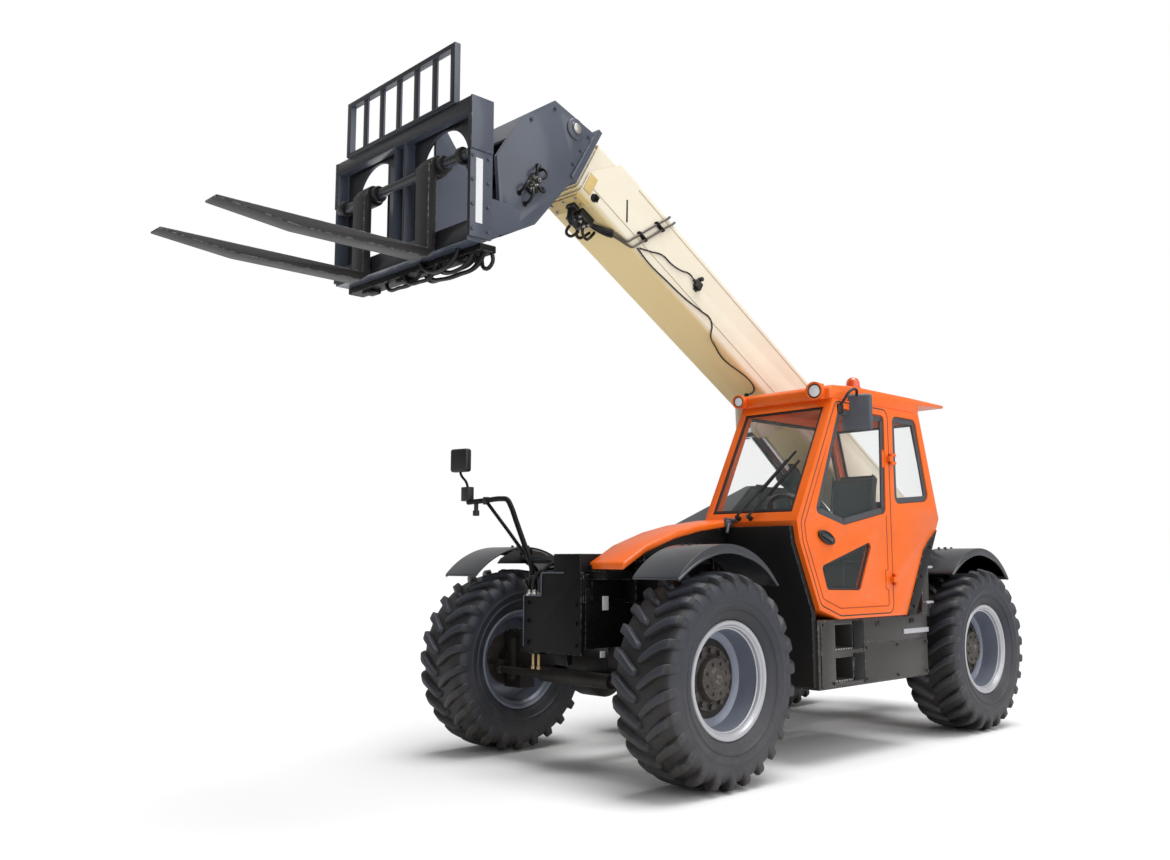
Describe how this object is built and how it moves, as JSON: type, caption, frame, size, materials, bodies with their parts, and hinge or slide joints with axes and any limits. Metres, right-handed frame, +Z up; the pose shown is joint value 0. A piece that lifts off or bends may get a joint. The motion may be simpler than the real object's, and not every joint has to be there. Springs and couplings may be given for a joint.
{
  "type": "telehandler",
  "caption": "Four-wheel telescopic handler: raised three-section boom with gooseneck head, tilting fork carriage, enclosed offset cab, side engine hood and four steered wheels.",
  "frame": {"origin": "on the ground, under the middle of the machine's whole length and width as it stands with the boom part raised", "axes": "+X forwards, along the machine from counterweight to fork tips; +Y to the machine's left, the cab's side; +Z up"},
  "size_m": [7.325, 2.415, 4.3838],
  "materials": {
    "tyre": "matt moulded rubber",
    "rim": "satin silver paint",
    "cast": "dark painted castings",
    "frame_black": "semi-gloss black",
    "box_grey": "dark brown-grey paint",
    "orange": "gloss orange paint",
    "glass": "clear safety glass",
    "plastic": "grained dark grey plastic",
    "seat": "black woven cloth",
    "beacon": "clear orange lens",
    "lamp": "clear lenses",
    "cream": "gloss ivory paint",
    "boom_grey": "satin dark blue-grey paint",
    "cylinder_black": "gloss black",
    "chrome": "hard chrome",
    "fork_steel": "worn charcoal paint"
  },
  "bodies": {
    "chassis": {"chassis_frame": "frame_black", "nose_plate": "frame_black", "counterweight": "frame_black", "front_axle": "cast", "rear_axle": "cast", "driveline": "cast", "front_fenders": "plastic", "rear_fenders": "plastic", "cowl": "orange", "cowl_base": "frame_black", "front_mudguard": "frame_black", "side_box": "box_grey", "engine_bay": "frame_black", "engine": "cast", "hydraulic_tank": "frame_black", "cab_frame": "orange", "cab_roof": "orange", "cab_windows": "glass", "seat_base": "plastic", "seat": "seat", "dashboard": "plastic", "steering_wheel": "plastic", "mirror_arm": "frame_black", "beacon": "beacon", "lamps": "lamp"},
    "cab_door": {"door": "orange", "door_windows": "glass", "cab_mirror": "plastic"},
    "hood": {"engine_hood": "plastic"},
    "boom": {"boom_base": "cream"},
    "mid_section": {"boom_mid": "cream"},
    "fly_section": {"boom_fly": "cream", "boom_head": "boom_grey"},
    "lift_cylinder": {"lift_barrel": "cylinder_black"},
    "lift_piston": {"lift_rod": "chrome"},
    "tilt_cylinder": {"tilt_barrel": "cylinder_black"},
    "tilt_piston": {"tilt_rod": "chrome"},
    "fork_carriage": {"carriage": "boom_grey", "backrest": "boom_grey", "fork_left": "fork_steel", "fork_right": "fork_steel"},
    "front_rod": {"front_steering_rod": "chrome"},
    "front_left_knuckle": {"knuckle_front_left": "cast"},
    "front_left_wheel": {"tyre_front_left": "tyre", "rim_front_left": "rim"},
    "front_right_knuckle": {"knuckle_front_right": "cast"},
    "front_right_wheel": {"tyre_front_right": "tyre", "rim_front_right": "rim"},
    "rear_rod": {"rear_steering_rod": "chrome"},
    "rear_left_knuckle": {"knuckle_rear_left": "cast"},
    "rear_left_wheel": {"tyre_rear_left": "tyre", "rim_rear_left": "rim"},
    "rear_right_knuckle": {"knuckle_rear_right": "cast"},
    "rear_right_wheel": {"tyre_rear_right": "tyre", "rim_rear_right": "rim"}
  },
  "joints": [
    {"name": "boom_lift", "type": "hinge", "parent": "chassis", "child": "boom", "pos_m": [-3.138, 0, 1.65], "axis": [0, -1, 0], "range_deg": [-30.4, 37.6]},
    {"name": "boom_extend", "type": "slide", "parent": "boom", "child": "mid_section", "axis": [0.8625, 0, 0.506], "range_m": [0, 3.4]},
    {"name": "fly_extend", "type": "slide", "parent": "mid_section", "child": "fly_section", "axis": [0.8625, 0, 0.506], "range_m": [0, 3.4]},
    {"name": "carriage_tilt", "type": "hinge", "parent": "fly_section", "child": "fork_carriage", "pos_m": [1.68307, 0, 3.48142], "axis": [0, 1, 0], "range_deg": [-42, 60]},
    {"name": "lift_cylinder_swing", "type": "hinge", "parent": "chassis", "child": "lift_cylinder", "pos_m": [-2.988, 0, 1], "axis": [0, -1, 0], "range_deg": [-27.5, 34]},
    {"name": "lift_piston_stroke", "type": "slide", "parent": "lift_cylinder", "child": "lift_piston", "axis": [0.8087, 0, 0.5882], "range_m": [-0.32, 0.4]},
    {"name": "tilt_cylinder_swing", "type": "hinge", "parent": "fly_section", "child": "tilt_cylinder", "pos_m": [1.12642, 0, 4.23655], "axis": [0, 1, 0], "range_deg": [-8.62, 11.89]},
    {"name": "tilt_piston_stroke", "type": "slide", "parent": "tilt_cylinder", "child": "tilt_piston", "axis": [0.7727, 0, -0.6348], "range_m": [-0.1471, 0.2079]},
    {"name": "door_swing", "type": "hinge", "parent": "chassis", "child": "cab_door", "pos_m": [-1.218, 1.142, 1.7], "axis": [0, 0, 1], "range_deg": [0, 85]},
    {"name": "hood_lift", "type": "hinge", "parent": "chassis", "child": "hood", "pos_m": [-1.788, -0.331, 1.992], "axis": [-1, 0, 0], "range_deg": [0, 55]},
    {"name": "front_left_steer", "type": "hinge", "parent": "chassis", "child": "front_left_knuckle", "pos_m": [0.712, 0.85, 0.648], "axis": [0, 0, 1], "range_deg": [-30, 30]},
    {"name": "front_left_roll", "type": "hinge", "parent": "front_left_knuckle", "child": "front_left_wheel", "pos_m": [0.712, 0.96, 0.648], "axis": [0, 1, 0], "continuous": true},
    {"name": "front_right_steer", "type": "hinge", "parent": "chassis", "child": "front_right_knuckle", "pos_m": [0.712, -0.85, 0.648], "axis": [0, 0, 1], "range_deg": [-30, 30]},
    {"name": "front_right_roll", "type": "hinge", "parent": "front_right_knuckle", "child": "front_right_wheel", "pos_m": [0.712, -0.96, 0.648], "axis": [0, 1, 0], "continuous": true},
    {"name": "front_rod_slide", "type": "slide", "parent": "chassis", "child": "front_rod", "axis": [0, 1, 0], "range_m": [-0.101, 0.101]},
    {"name": "rear_left_steer", "type": "hinge", "parent": "chassis", "child": "rear_left_knuckle", "pos_m": [-2.568, 0.85, 0.648], "axis": [0, 0, 1], "range_deg": [-30, 30]},
    {"name": "rear_left_roll", "type": "hinge", "parent": "rear_left_knuckle", "child": "rear_left_wheel", "pos_m": [-2.568, 0.96, 0.648], "axis": [0, 1, 0], "continuous": true},
    {"name": "rear_right_steer", "type": "hinge", "parent": "chassis", "child": "rear_right_knuckle", "pos_m": [-2.568, -0.85, 0.648], "axis": [0, 0, 1], "range_deg": [-30, 30]},
    {"name": "rear_right_roll", "type": "hinge", "parent": "rear_right_knuckle", "child": "rear_right_wheel", "pos_m": [-2.568, -0.96, 0.648], "axis": [0, 1, 0], "continuous": true},
    {"name": "rear_rod_slide", "type": "slide", "parent": "chassis", "child": "rear_rod", "axis": [0, 1, 0], "range_m": [-0.101, 0.101]}
  ],
  "couplings": [
    {"joint": "fly_extend", "follows": "boom_extend", "ratio": 1},
    {"joint": "lift_cylinder_swing", "follows": "boom_lift", "ratio": 0.883},
    {"joint": "lift_piston_stroke", "follows": "boom_lift", "m_per_rad": 0.5825},
    {"joint": "tilt_cylinder_swing", "follows": "carriage_tilt", "ratio": 0.1815},
    {"joint": "tilt_piston_stroke", "follows": "carriage_tilt", "m_per_rad": 0.1938},
    {"joint": "front_right_steer", "follows": "front_left_steer", "ratio": 1},
    {"joint": "front_rod_slide", "follows": "front_left_steer", "m_per_rad": 0.19},
    {"joint": "rear_right_steer", "follows": "rear_left_steer", "ratio": 1},
    {"joint": "rear_rod_slide", "follows": "rear_left_steer", "m_per_rad": -0.19}
  ]
}
